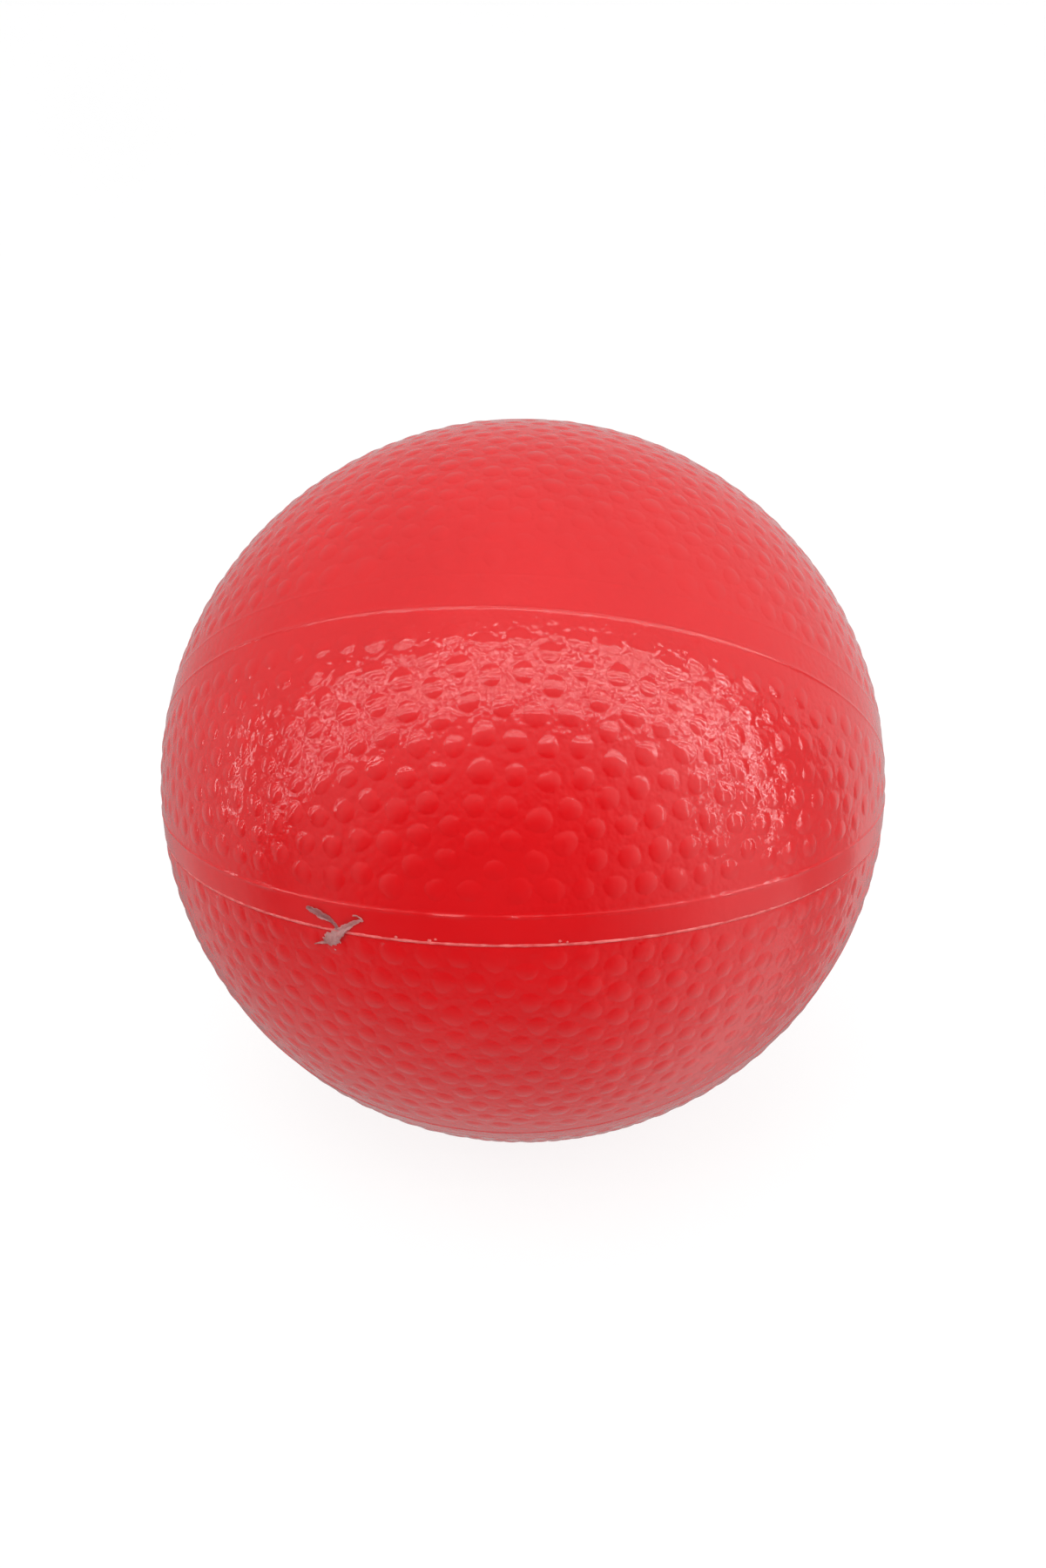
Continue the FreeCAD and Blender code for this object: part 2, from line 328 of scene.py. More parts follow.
def outside_surface(z_sign, centres, radii, heights):
    """(unit points, heights in mm, points in its rim) of one half's outside, the rim first."""
    mine = centres[:, 2] * z_sign > 0
    centres, radii, heights = centres[mine], radii[mine], heights[mine]
    pole = np.array([0.0, 0.0, float(z_sign)])
    rim = circle(np.array([0.0, 0.0, 1.0]), JOINT_GAP * z_sign, ROW_POINTS)
    rows = [circle(pole, z, ROW_POINTS) for z in (LIP_ROWS if z_sign > 0 else STEP_ROWS)]
    if z_sign > 0:
        rows += [circle(pole, LIP_TOP + d, ROW_POINTS) for d in LINE_ROWS]
        for r in (*(HOLE_R + d for d in HOLE_ROWS), *(PAD_R + d for d in LINE_ROWS)):
            rows.append(circle(pole, math.sqrt(SMOOTH_R**2 - r**2), HOLE_POINTS))
    rows += band_rows(z_sign)
    domes, raised = pebble_points(centres, radii, heights)
    flat = np.vstack([*rows, fill_between(z_sign, centres, radii)])
    # Where rows meet, near neighbours are thinned out on a fine grid.
    cells = np.round(flat * SMOOTH_R / CELL).astype(int)
    first = np.unique(cells, axis=0, return_index=True)[1]
    flat = np.vstack([rim, flat[np.sort(first)]])
    height = line_height(flat, band_distance(flat, z_sign), z_sign) + seam_height(flat, z_sign)
    points = np.vstack([flat, domes])
    return points, np.concatenate([height, raised]), len(rim)


def triangulate(points, z_sign, hole):
    """Triangles over unit points on one half of the sphere, but none inside its hole.

    The points are joined in a flat map, a stereographic one from the other pole. The hole's
    radius is given on the unit sphere, and is 0 where there is no hole.
    """
    flat = points[:, :2] / (1 + z_sign * points[:, 2:3])
    result = delaunay_2d_cdt([Vector(p) for p in flat], [], [], 0, 1e-9, True)
    faces, origins = result[2], result[3]
    source = np.array([o[0] for o in origins])
    triangles = source[np.array(faces)]
    if hole:
        middle = np.linalg.norm(points[triangles].mean(axis=1)[:, :2], axis=1)
        # A sliver on three neighbours of the hole's edge has its middle at 0.997 of the radius.
        triangles = triangles[middle > 0.998 * hole]
    return triangles if z_sign > 0 else triangles[:, ::-1]


INSIDE_ROWS = (2.5, 6.0)
INSIDE_SPACING = 5.0
INSIDE_START = 9.0
INSIDE_HOLE_CLEAR = 2.5


def inside_surface(z_sign):
    """Unit points of one half's plain inside: rim, valve hole's edge if any, then the rest."""
    pole = np.array([0.0, 0.0, float(z_sign)])
    rim = circle(np.array([0.0, 0.0, 1.0]), JOINT_GAP * z_sign, ROW_POINTS)
    rows = [circle(pole, z, ROW_POINTS // 4) for z in INSIDE_ROWS]
    fill = fill_points(INSIDE_SPACING)
    fill = fill[fill[:, 2] * z_sign * SMOOTH_R > INSIDE_START]
    if z_sign > 0:
        fill = fill[axis_distance(fill) > HOLE_R + INSIDE_HOLE_CLEAR]
        level = SMOOTH_R * math.sqrt(1 - (HOLE_R / INNER_R) ** 2)
        rows.insert(0, circle(pole, level, HOLE_POINTS))
    return np.vstack([rim, *rows, fill])


def hole_edge(points, radius):
    """Indices of the points round the valve hole, in order, on the sphere of that radius."""
    off_edge = np.abs(np.hypot(points[:, 0], points[:, 1]) * radius - HOLE_R)
    ring = np.nonzero(off_edge < 1e-4)[0]
    ring = ring[points[ring, 2] > 0]
    return ring[np.argsort(np.arctan2(points[ring, 1], points[ring, 0]))]


def bridge(a, b):
    """Quads between two closed rings of indices."""
    return [(int(a[i - 1]), int(a[i]), int(b[i]), int(b[i - 1])) for i in range(len(a))]


def mesh_object(name, vertices, faces, crease=50):
    """A closed smooth-shaded piece on the ball, sharp where it folds by over crease degrees."""
    mesh = bpy.data.meshes.new(name)
    faces = [tuple(int(i) for i in face) for face in faces]
    mesh.from_pydata([tuple(v) for v in vertices], [], faces)
    mesh.validate()
    work = bmesh.new()
    work.from_mesh(mesh)
    bmesh.ops.recalc_face_normals(work, faces=work.faces)
    loose = sum(1 for e in work.edges if len(e.link_faces) != 2)
    if loose:
        print(name, "has", loose, "edges without two faces")
    for edge in work.edges:
        open_edge = len(edge.link_faces) != 2
        edge.smooth = open_edge or edge.calc_face_angle() < math.radians(crease)
    for face in work.faces:
        face.smooth = True
    work.to_mesh(mesh)
    work.free()
    made = bpy.data.objects.new(name, mesh)
    bpy.context.scene.collection.objects.link(made)
    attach(made, "ball")
    return made


def cover_half(name, z_sign, pebbles):
    """One half of the cover, closed at its rim and round the valve hole."""
    outer, height, rim_count = outside_surface(z_sign, *pebbles)
    inner = inside_surface(z_sign)
    hole = HOLE_R if z_sign > 0 else 0.0
    start = len(outer)
    faces = list(triangulate(outer, z_sign, hole / SMOOTH_R))
    faces += list(triangulate(inner, z_sign, hole / INNER_R)[:, ::-1] + start)
    faces += bridge(np.arange(rim_count), start + np.arange(rim_count))
    if hole:
        faces += bridge(hole_edge(outer, SMOOTH_R), start + hole_edge(inner, INNER_R))
    vertices = np.vstack([outer * (SMOOTH_R + height)[:, None], inner * INNER_R]) * MM
    return mesh_object(name, vertices, faces)


pebbles = all_pebbles()
upper = cover_half("cover_upper_skin", 1, pebbles)
lower = cover_half("cover_lower_skin", -1, pebbles)
for piece, node in ((upper, "cover_upper"), (lower, "cover_lower")):
    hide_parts(node)

# ---- the moulding flash along the joint, and the scrap of it that hangs on ----


def ball_point(azimuth, height, radius):
    """A point in mm, at degrees from the front (-Y) towards +X and mm above the joint."""
    a = np.radians(azimuth)
    b = height / SMOOTH_R
    x = radius * np.sin(a) * np.cos(b)
    y = -radius * np.cos(a) * np.cos(b)
    return np.stack([x, y, radius * np.sin(b)], axis=-1)


def waves(x, seed, *counts):
    """A smooth random wave along x in degrees, about -1 to 1, with those counts of waves a turn."""
    draw = np.random.default_rng(seed)
    total = 0
    for count in counts:
        wave = np.sin(np.radians(x * count) + draw.uniform(0, 2 * math.pi))
        total = total + wave * draw.uniform(0.6, 1.0)
    return total / len(counts)


FLASH_STEPS = 2400
FLASH_ROOT_R = 107.0  # inside the cover
FLASH_FOOT_R = 107.25  # its height is measured from here
FLASH_TOP_R = 107.42
# The ridge's section: (share of its half width, level, whether the level is a share of its
# height above the foot instead of a radius in mm).
FLASH_SECTION = (
    (-1.0, FLASH_ROOT_R, False),
    (-1.0, 107.30, False),
    (-0.55, 0.75, True),
    (0.0, 1.0, True),
    (0.6, 0.7, True),
    (1.0, 107.34, False),
)
# The nubs just above the ridge: (azimuth, height above the joint in mm, size in mm).
NUBS = (
    (-8.2, 0.6, 0.38),
    (-4.3, 0.5, 0.42),
    (-3.6, 0.9, 0.3),
    (10.2, 0.8, 0.38),
    (11.0, 0.5, 0.3),
)
NUB_R = 107.38
NUB_MM_PER_DEGREE = 1.87  # along the surface, to the nearest that such small lumps need


def add_flash():
    """A thin uneven ridge all round, highest across the front, with a few small nubs."""
    azimuth = np.arange(FLASH_STEPS) * 360 / FLASH_STEPS
    turned = (azimuth + 180) % 360 - 180
    front = 1 - smooth(np.abs(turned + 3), 25, 62)
    uneven = waves(azimuth, 1, 37, 91, 173, 289)
    top = FLASH_TOP_R + 0.10 * front + 0.10 * uneven * (0.5 + 0.5 * front)
    half = 0.20 + 0.18 * front + 0.09 * waves(azimuth, 2, 53, 127, 211)
    lean = 0.08 * waves(azimuth, 3, 29, 83, 199)
    rings = []
    for share, level, rising in FLASH_SECTION:
        radius = np.full(FLASH_STEPS, level)
        if rising:
            radius = FLASH_FOOT_R + (top - FLASH_FOOT_R) * level
        rings.append(ball_point(azimuth, lean * rising + half * share, radius))
    rings.append(ball_point(azimuth, half, np.full(FLASH_STEPS, FLASH_ROOT_R)))
    vertices = np.vstack(rings)
    faces = []
    for row in range(len(rings)):
        a = row * FLASH_STEPS + np.arange(FLASH_STEPS)
        b = (row + 1) % len(rings) * FLASH_STEPS + np.arange(FLASH_STEPS)
        faces += bridge(a, b)
    for spot in NUBS:
        start = len(vertices)
        blob, triangles = nub(*spot)
        vertices = np.vstack([vertices, blob])
        faces += [tuple(i + start for i in t) for t in triangles]
    return mesh_object("seam_flash_ridge", vertices * MM, faces, crease=80)


def nub(azimuth, height, size):
    """A small lump that stands out of the lip: (points in mm, faces)."""
    ball = bmesh.new()
    bmesh.ops.create_icosphere(ball, subdivisions=2, radius=1.0)
    points = np.array([v.co for v in ball.verts])
    faces = [tuple(v.index for v in f.verts) for f in ball.faces]
    ball.free()
    lumpy = 1 + 0.25 * np.sin(points @ np.array([5.0, 3.0, 7.0]) + azimuth)
    points = points * lumpy[:, None] * size
    azimuth = azimuth + points[:, 0] / NUB_MM_PER_DEGREE
    return ball_point(azimuth, height + points[:, 1] * 0.8, NUB_R + points[:, 2] * 0.5), faces


# Shreds of flash. Each row along one is (azimuth, height above the joint in mm, width in mm,
# lift off the surface in mm).
STRAND = (
    (-19.7, 4.1, 0.6, 0.02),
    (-18.9, 4.0, 1.5, 0.10),
    (-18.0, 3.5, 1.9, 0.15),
    (-17.1, 2.9, 1.6, 0.25),
    (-16.3, 2.4, 0.9, 0.35),
    (-15.8, 1.4, 0.7, 0.30),
    (-15.5, 0.6, 0.9, 0.20),
)
SHRED = (
    (-12.2, 3.7, 0.4, 0.75),
    (-12.9, 3.1, 0.9, 0.70),
    (-13.7, 2.2, 1.3, 0.60),
    (-14.4, 1.2, 1.6, 0.50),
    (-15.1, 0.1, 2.0, 0.45),
    (-15.8, -1.2, 2.9, 0.45),
    (-16.3, -2.4, 4.0, 0.50),
    (-16.6, -3.3, 4.4, 0.35),
    (-16.8, -3.8, 3.6, 0.15),
)
HOOK = (
    (-13.4, 4.3, 0.3, 0.15),
    (-12.8, 4.4, 0.5, 0.30),
    (-12.3, 4.0, 0.6, 0.50),
    (-12.1, 3.3, 0.5, 0.60),
)
TAIL = (
    (-19.0, -4.4, 0.2, 0.05),
    (-18.2, -3.9, 0.5, 0.15),
    (-17.3, -3.2, 0.9, 0.30),
    (-16.6, -2.4, 0.9, 0.35),
)
SHRED_THICK = 0.10
SHRED_R = 107.42  # the lift is measured from here
SHRED_SEED = 5
MM_PER_DEGREE = 1.873  # along the surface
RIBBON_ACROSS = 9
RIBBON_STEPS = 10  # in each span of a path


def ribbon(path, seed):
    """A crumpled thin strip along a path: (points in mm, faces), closed all round."""
    path = np.array(path)
    spans = len(path) - 1
    t = np.linspace(0, spans, spans * RIBBON_STEPS + 1)
    row = np.stack([np.interp(t, np.arange(spans + 1), path[:, i]) for i in range(4)], axis=1)
    for _ in range(6):
        row[1:-1] = (row[:-2] + 2 * row[1:-1] + row[2:]) / 4
    azimuth, height, width, lift = row.T
    along = unit(np.stack([np.gradient(azimuth * MM_PER_DEGREE), np.gradient(height)], axis=1))
    draw = np.random.default_rng(seed)
    phase = draw.uniform(0, 2 * math.pi, 4)
    top, under = [], []
    for k in range(RIBBON_ACROSS):
        v = 2 * k / (RIBBON_ACROSS - 1) - 1
        fray = 1 + 0.12 * np.sin(t * 4.1 + phase[0] + v) + 0.07 * np.sin(t * 9.7 + phase[1] - v)
        edge = width / 2 * fray
        fold = 0.30 * np.sin(v * 3.3 + t * 0.9 + phase[2])
        fold = fold + 0.14 * np.sin(v * 7.5 - t * 1.7 + phase[3])
        rise = lift * (0.55 + 0.45 * v * np.sin(t * 1.3 + phase[1]))
        rise = np.maximum(rise + fold * np.minimum(width / 2, 1.0), 0.0) + SHRED_R
        a = azimuth - along[:, 1] * edge * v / MM_PER_DEGREE
        h = height + along[:, 0] * edge * v
        thick = SHRED_THICK * (1 - 0.7 * abs(v))
        top.append(ball_point(a, h, rise + thick))
        under.append(ball_point(a, h, rise))
    rings = np.stack(top + under[::-1], axis=1)
    rows, around = rings.shape[:2]
    points = rings.reshape(-1, 3)
    faces = []
    for i in range(rows - 1):
        faces += bridge(i * around + np.arange(around), (i + 1) * around + np.arange(around))
    for i in (0, rows - 1):
        first, last = i * around, (i + 1) * around - 1
        for k in range(RIBBON_ACROSS - 1):
            faces.append((first + k, first + k + 1, last - k - 1, last - k))
    return points, faces


def add_scrap():
    """The torn scrap: the strand has the piece's first material, the other shreds its second."""
    vertices, faces = np.zeros((0, 3)), []
    for seed, path in enumerate((STRAND, SHRED, HOOK, TAIL)):
        points, more = ribbon(path, seed + SHRED_SEED)
        faces += [tuple(i + len(vertices) for i in f) for f in more]
        vertices = np.vstack([vertices, points])
        if path is STRAND:
            strand_faces = len(faces)
    piece = mesh_object("flash_scrap_shreds", vertices * MM, faces, crease=80)
    for polygon in piece.data.polygons[strand_faces:]:
        polygon.material_index = 1
    return piece


flash = add_flash()
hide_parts("seam_flash")
scrap = add_scrap()
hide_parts("flash_scrap")

# ---- materials ----


class Shader:
    """A material's node tree, ending in one Principled shader."""

    def __init__(self, name, **inputs):
        self.material = bpy.data.materials.new(name)
        self.material.use_nodes = True
        self.tree = self.material.node_tree
        self.principled = next(n for n in self.tree.nodes if n.type == "BSDF_PRINCIPLED")
        self.coords = self.node("ShaderNodeTexCoord").outputs["Object"]
        self.set(**inputs)

    def set(self, **inputs):
        for key, value in inputs.items():
            self.principled.inputs[key.replace("_", " ")].default_value = value

    def node(self, kind, **settings):
        made = self.tree.nodes.new(kind)
        for key, value in settings.items():
            setattr(made, key, value)
        return made

    def link(self, output, socket):
        self.tree.links.new(output, socket)

    def noise(self, scale, detail=2.0, roughness=0.5):
        made = self.node("ShaderNodeTexNoise")
        made.inputs["Scale"].default_value = scale
        made.inputs["Detail"].default_value = detail
        made.inputs["Roughness"].default_value = roughness
        self.link(self.coords, made.inputs["Vector"])
        return made.outputs["Fac"]

    def ramp(self, value, *stops):
        """Colours (or greys) at places along value."""
        made = self.node("ShaderNodeValToRGB")
        elements = made.color_ramp.elements
        while len(elements) < len(stops):
            elements.new(0.5)
        for element, (place, colour) in zip(elements, stops):
            rgb = colour if isinstance(colour, tuple) else (colour, colour, colour)
            element.position = place
            element.color = (*rgb, 1.0)
        self.link(value, made.inputs["Fac"])
        return made.outputs["Color"]

    def distance_from_centre(self):
        made = self.node("ShaderNodeVectorMath", operation="LENGTH")
        self.link(self.coords, made.inputs[0])
        return made.outputs["Value"]

    def fade(self, value, low, high, before, after):
        made = self.node("ShaderNodeMapRange")
        made.inputs["From Min"].default_value = low
        made.inputs["From Max"].default_value = high
        made.inputs["To Min"].default_value = before
        made.inputs["To Max"].default_value = after
        self.link(value, made.inputs["Value"])
        return made.outputs["Result"]

    def bump(self, height, strength, distance, after=None):
        made = self.node("ShaderNodeBump")
        if isinstance(strength, float):
            made.inputs["Strength"].default_value = strength
        else:
            self.link(strength, made.inputs["Strength"])
        made.inputs["Distance"].default_value = distance
        self.link(height, made.inputs["Height"])
        if after is not None:
            self.link(after, made.inputs["Normal"])
        return made.outputs["Normal"]

    def finish(self, colour=None, roughness=None, normal=None):
        outputs = {"Base Color": colour, "Roughness": roughness, "Normal": normal}
        for socket, output in outputs.items():
            if output is not None:
                self.link(output, self.principled.inputs[socket])
        return self.material


def moulded_vinyl(name, dark, light):
    """Glossy moulded red with faint mottling, fine ripples and a slightly uneven gloss."""
    shader = Shader(name, IOR=1.5, Subsurface_Weight=0.12, Subsurface_Scale=0.004)
    shader.set(Subsurface_Radius=(1.0, 0.15, 0.1))
    colour = shader.ramp(shader.noise(38, 3), (0.35, dark), (0.65, light))
    gloss = shader.ramp(shader.noise(120, 3), (0.3, 0.075), (0.7, 0.125))
    ripples = shader.bump(shader.noise(260, 2), 0.24, 0.0003)
    ground, domes = (SMOOTH_R + 0.02) * MM, (SMOOTH_R + 0.1) * MM
    grain = shader.fade(shader.distance_from_centre(), ground, domes, 0.75, 0.25)
    normal = shader.bump(shader.noise(620, 1, 0.4), grain, 0.00016, ripples)
    return shader.finish(colour, gloss, normal)


cover_material = moulded_vinyl("cover_vinyl", (0.515, 0.0055, 0.0075), (0.54, 0.0065, 0.0085))
for piece in (upper, lower):
    piece.data.materials.append(cover_material)


def thin_flash(name, dark, light, clear):
    """Thin, paler vinyl that light comes through, torn and uneven."""
    shader = Shader(name, IOR=1.5, Subsurface_Weight=0.4, Subsurface_Scale=0.002)
    shader.set(Subsurface_Radius=(1.0, 0.4, 0.35))
    colour = shader.ramp(shader.noise(420, 3), (0.35, dark), (0.65, light))
    gloss = shader.ramp(shader.noise(900, 2), (0.3, clear), (0.7, clear + 0.2))
    normal = shader.bump(shader.noise(1500, 3, 0.6), 0.6, 0.0001)
    return shader.finish(colour, gloss, normal)


def moulded_rubber(name, dark, light, rough, dust=None):
    """Soft moulded rubber with fine pores and, where dust is given, a pale bloom in patches."""
    shader = Shader(name, IOR=1.5)
    low, high = (0.35, dark), (0.65, light)
    colour = shader.ramp(shader.noise(160, 3), low, high, *([(0.9, dust)] if dust else []))
    gloss = shader.ramp(shader.noise(500, 3), (0.3, rough), (0.7, rough + 0.15))
    normal = shader.bump(shader.noise(2200, 3, 0.6), 0.5, 0.00006)
    return shader.finish(colour, gloss, normal)


for piece, name, dark, light, clear in (
    (flash, "flash_vinyl", (0.60, 0.04, 0.04), (0.74, 0.14, 0.13), 0.3),
    (scrap, "strand_vinyl", (0.24, 0.05, 0.05), (0.36, 0.12, 0.12), 0.3),
    (scrap, "scrap_vinyl", (0.30, 0.08, 0.075), (0.50, 0.20, 0.19), 0.35),
):
    piece.data.materials.append(thin_flash(name, dark, light, clear))


def cad_material(node, material):
    """Gives a CAD node a better material."""
    shown = [o for o in bpy.data.objects if o.type == "MESH" and o.name.split(".")[0] == node]
    for piece in shown:
        for slot in piece.material_slots:
            slot.material = material
    if not shown or not shown[0].material_slots:
        print("no material slot on", node, [o.name for o in shown])


SEAT_RED = (0.30, 0.010, 0.012), (0.36, 0.016, 0.018)
PLUG_BLACK = (0.022, 0.022, 0.023), (0.045, 0.044, 0.043)
BLADDER_BLACK = (0.018, 0.018, 0.02), (0.035, 0.035, 0.037)
BLADDER_BLOOM = (0.30, 0.29, 0.27)
cad_material("valve_seat", moulded_rubber("seat_rubber", *SEAT_RED, 0.42))
cad_material("valve_plug", moulded_rubber("plug_rubber", *PLUG_BLACK, 0.35))
cad_material("bladder", moulded_rubber("bladder_rubber", *BLADDER_BLACK, 0.55, BLADDER_BLOOM))

# ---- camera ----

VIEW_AZIMUTH = math.radians(6.4)
VIEW_ELEVATION = math.radians(18.4)
VIEW_ROLL = math.radians(-0.9)
VIEW_DISTANCE = BALL_R * MM / 0.38  # the ball's radius is this share of it
VIEW_LENS = 20.36
AIM_DROP = math.radians(0.2)


def direction(azimuth, elevation):
    """A unit vector; azimuth 0 is -Y and grows towards +X."""
    level = math.cos(elevation)
    return Vector((math.sin(azimuth) * level, -math.cos(azimuth) * level, math.sin(elevation)))


def add_camera():
    """The camera at the photograph's viewing angle."""
    camera = bpy.data.objects.new("camera", bpy.data.cameras.new("camera"))
    bpy.context.scene.collection.objects.link(camera)
    camera.data.sensor_width = 36
    camera.data.lens = VIEW_LENS
    camera.data.clip_start = 0.01
    toward = direction(VIEW_AZIMUTH, VIEW_ELEVATION)
    camera.location = toward * VIEW_DISTANCE
    turn = Matrix.Rotation(VIEW_ROLL, 3, "Z") @ Matrix.Rotation(-AIM_DROP, 3, "X")
    camera.rotation_euler = (toward.to_track_quat("Z", "Y") @ turn.to_quaternion()).to_euler()
    bpy.context.scene.camera = camera
    bpy.context.scene.view_settings.view_transform = "Standard"


add_camera()

# ---- floor and light ----

SWEEP_FRONT, SWEEP_BACK, SWEEP_WIDTH, SWEEP_BEND, SWEEP_TOP = 6.0, 1.6, 6.0, 0.9, 5.0
SWEEP_STEPS = 24
SURROUND_R, SURROUND_TOP, SURROUND_SINK = 3.4, 8.0, 0.001
SURROUND_SIDES = 96


def stage_mesh(name, vertices, faces):
    """A bare piece of the stage."""
    mesh = bpy.data.meshes.new(name)
    mesh.from_pydata(vertices, [], faces)
    made = bpy.data.objects.new(name, mesh)
    bpy.context.scene.collection.objects.link(made)
    return made


def matt_white(name, roughness, glow, dark, light):
    """A matt white that glows, with faint broad mottling."""
    shader = Shader(name, Roughness=roughness, Specular_IOR_Level=0.0)
    shader.set(Emission_Color=(1.0, 1.0, 1.0, 1.0), Emission_Strength=glow)
    return shader.finish(shader.ramp(shader.noise(1.5), (0.0, dark), (1.0, light)))


def add_sweep():
    """A floor that curves up into a backdrop behind the ball, as one surface."""
    outline = [(-SWEEP_FRONT, 0.0), (SWEEP_BACK, 0.0)]
    for step in range(1, SWEEP_STEPS + 1):
        a = math.radians(90 * step / SWEEP_STEPS)
        y = SWEEP_BACK + SWEEP_BEND * math.sin(a)
        outline.append((y, SWEEP_BEND * (1 - math.cos(a))))
    outline.append((SWEEP_BACK + SWEEP_BEND, SWEEP_TOP))
    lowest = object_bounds()[0][2]
    vertices = [(x, y, lowest + z) for y, z in outline for x in (-SWEEP_WIDTH, SWEEP_WIDTH)]
    faces = [(2 * i, 2 * i + 1, 2 * i + 3, 2 * i + 2) for i in range(len(outline) - 1)]
    sweep = stage_mesh("sweep", vertices, faces)
    sweep.data.shade_smooth()
    sweep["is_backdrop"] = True
    sweep.data.materials.append(matt_white("pale_floor", 0.9, 0.86, 0.12, 0.14))
    sweep.visible_glossy = False


def add_surround():
    """A plain white wall all round, so that the room looks plain from every side.

    Only the camera sees it.
    """
    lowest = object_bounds()[0][2]
    vertices = []
    for z in (lowest - SURROUND_SINK, lowest + SURROUND_TOP):
        for step in range(SURROUND_SIDES):
            a = 2 * math.pi * step / SURROUND_SIDES
            vertices.append((SURROUND_R * math.cos(a), SURROUND_R * math.sin(a), z))
    around = range(SURROUND_SIDES)
    faces = bridge(around, [i + SURROUND_SIDES for i in around])
    wall = stage_mesh("surround", vertices, faces)
    wall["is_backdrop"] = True
    wall.data.materials.append(matt_white("white_wall", 1.0, 1.0, 0.02, 0.03))
    for kind in ("diffuse", "glossy", "transmission", "shadow"):
        setattr(wall, "visible_" + kind, False)


add_sweep()
add_surround()

# The room that the ball mirrors. Every level is a radiance. A soft strip arches over the
# camera, with thin bright lines along it. The ceiling is above and behind the strip, a pale
# floor and a window on the right are below it, and it is dark round the camera itself.
STRIP_TILT = math.radians(53)
STRIP_LEVEL, STRIP_LINE, STRIP_SIDE = 0.95, 26.0, 0.6
STRIP_LINES = (-0.23, -0.13, -0.03, 0.07)
STRIP_HALF = 0.010
# The strip's and its lines' levels towards its two ends, as shares of those over the camera.
STRIP_END, LINE_END = 0.4, 1.25
STRIP_TAIL = 1.1
CEILING_FRONT, CEILING_BACK = 1.22, 0.69
LOW_BACK = 0.35  # the ceiling's share low down behind the ball
FLOOR_TILT = math.radians(35)
FLOOR_LEVEL = 0.74
WINDOW_LEVEL = 1.0
LEFT_GAIN, RIGHT_GAIN = 0.76, 1.24
# Upright bright edges at the sides, such as window frames: (degrees right of the camera,
# lowest, highest, radiance).
POSTS = (
    (55, -0.08, 0.45, 10.0),
    (73, -0.14, 0.34, 11.0),
    (-91, -0.08, 0.22, 10.0),
)
POST_HALF, POST_FADE = 0.02, 0.06


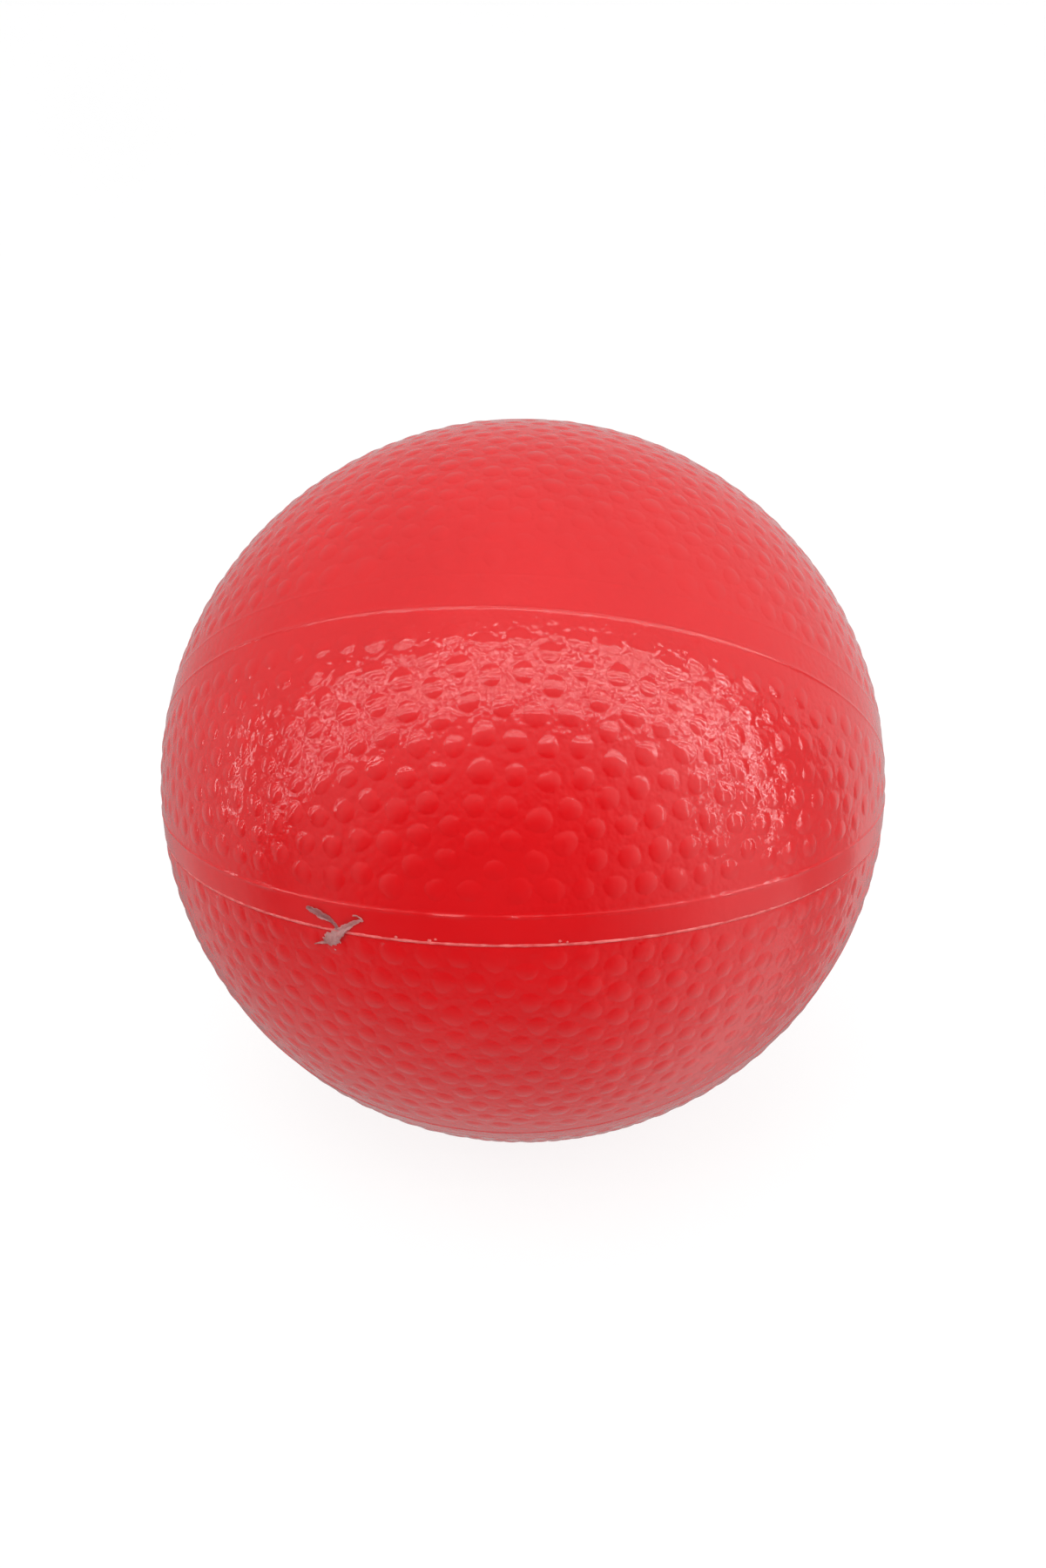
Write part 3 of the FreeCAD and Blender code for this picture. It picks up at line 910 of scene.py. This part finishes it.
def add_world():
    """Lights the scene with that room, which is made of smooth steps along a few directions."""
    world = bpy.data.worlds.new("studio")
    world.use_nodes = True
    bpy.context.scene.world = world
    tree = world.node_tree
    tree.nodes.clear()
    coords = tree.nodes.new("ShaderNodeTexCoord").outputs["Generated"]

    def feed(socket, value):
        if isinstance(value, float):
            socket.default_value = value
        else:
            tree.links.new(value, socket)

    def along(vector):
        made = tree.nodes.new("ShaderNodeVectorMath")
        made.operation = "DOT_PRODUCT"
        made.inputs[1].default_value = vector
        tree.links.new(coords, made.inputs[0])
        return made.outputs["Value"]

    def blend(value, low, high, before, after, kind="SMOOTHSTEP"):
        made = tree.nodes.new("ShaderNodeMapRange")
        made.interpolation_type = kind
        feed(made.inputs["Value"], value)
        feed(made.inputs["From Min"], low)
        feed(made.inputs["From Max"], high)
        feed(made.inputs["To Min"], before)
        feed(made.inputs["To Max"], after)
        return made.outputs["Result"]

    def combine(operation, a, b):
        made = tree.nodes.new("ShaderNodeMath")
        made.operation = operation
        feed(made.inputs[0], a)
        feed(made.inputs[1], b)
        return made.outputs["Value"]

    front = direction(VIEW_AZIMUTH, 0.0)
    up = Vector((0, 0, 1))
    forward = along(front)
    right = along(direction(VIEW_AZIMUTH + math.pi / 2, 0.0))
    over = along(up * math.cos(STRIP_TILT) - front * math.sin(STRIP_TILT))
    under = along(-up * math.cos(FLOOR_TILT) - front * math.sin(FLOOR_TILT))
    height = along(up)
    gain = blend(right, -1.0, 1.0, LEFT_GAIN, RIGHT_GAIN, "LINEAR")

    strip = blend(forward, 0.25, 0.8, STRIP_END * STRIP_LEVEL, STRIP_LEVEL)
    peak = blend(forward, 0.25, 0.8, LINE_END * STRIP_LINE, STRIP_LINE)
    for middle in STRIP_LINES:
        rise = blend(over, middle - STRIP_HALF, middle, 0.0, peak)
        fall = blend(over, middle, middle + STRIP_HALF, 0.0, peak)
        strip = combine("ADD", strip, combine("SUBTRACT", rise, fall))
    strip = blend(forward, 0.13, 0.36, STRIP_SIDE, combine("MULTIPLY", strip, gain))

    ceiling = blend(forward, -1.0, 0.5, CEILING_BACK, CEILING_FRONT)
    ceiling = combine("MULTIPLY", ceiling, gain)
    low_back = blend(height, -0.72, -0.05, LOW_BACK, 1.0)
    ceiling = combine("MULTIPLY", ceiling, blend(forward, -0.78, -0.5, low_back, 1.0))
    above = blend(over, 0.08, 0.18, strip, ceiling)

    below = blend(under, -0.18, 0.80, 0.0, FLOOR_LEVEL)
    below = combine("ADD", below, blend(right, 0.12, 1.0, 0.0, WINDOW_LEVEL))
    tail = blend(forward, 0.2, 0.6, 0.0, STRIP_TAIL)
    below = combine("ADD", below, blend(over, -0.84, -0.2, 0.0, tail))

    total = blend(over, -0.38, -0.16, below, above)
    for degrees, low, high, level in POSTS:
        azimuth = VIEW_AZIMUTH + math.radians(degrees)
        aside = along(direction(azimuth + math.pi / 2, 0.0))
        rise = blend(aside, -POST_HALF, 0.0, 0.0, level)
        fall = blend(aside, 0.0, POST_HALF, 0.0, level)
        post = combine("SUBTRACT", rise, fall)
        post = blend(along(direction(azimuth, 0.0)), 0.0, 0.2, 0.0, post)
        post = blend(height, low - POST_FADE, low, 0.0, post)
        total = combine("ADD", total, blend(height, high, high + POST_FADE, post, 0.0))

    background = tree.nodes.new("ShaderNodeBackground")
    tree.links.new(total, background.inputs["Strength"])
    output = tree.nodes.new("ShaderNodeOutputWorld")
    tree.links.new(background.outputs["Background"], output.inputs["Surface"])


add_world()

# Lights: (name, degrees right of the camera, degrees up, metres away, metres wide, watts).
LIGHTS = (
    ("key", -10, 60, 1.1, 0.5, 3.4),
    ("fill", -120, 14, 1.3, 0.5, 2.0),
)


def add_light(name, right, up, distance, size, energy):
    """A soft round light that is kept out of the reflections."""
    data = bpy.data.lights.new(name, "AREA")
    data.shape = "DISK"
    data.size = size
    data.energy = energy
    light = bpy.data.objects.new(name, data)
    toward = direction(VIEW_AZIMUTH + math.radians(right), math.radians(up))
    light.location = toward * distance
    light.rotation_euler = light.location.to_track_quat("Z", "Y").to_euler()
    light.visible_glossy = False
    bpy.context.scene.collection.objects.link(light)


for light in LIGHTS:
    add_light(*light)
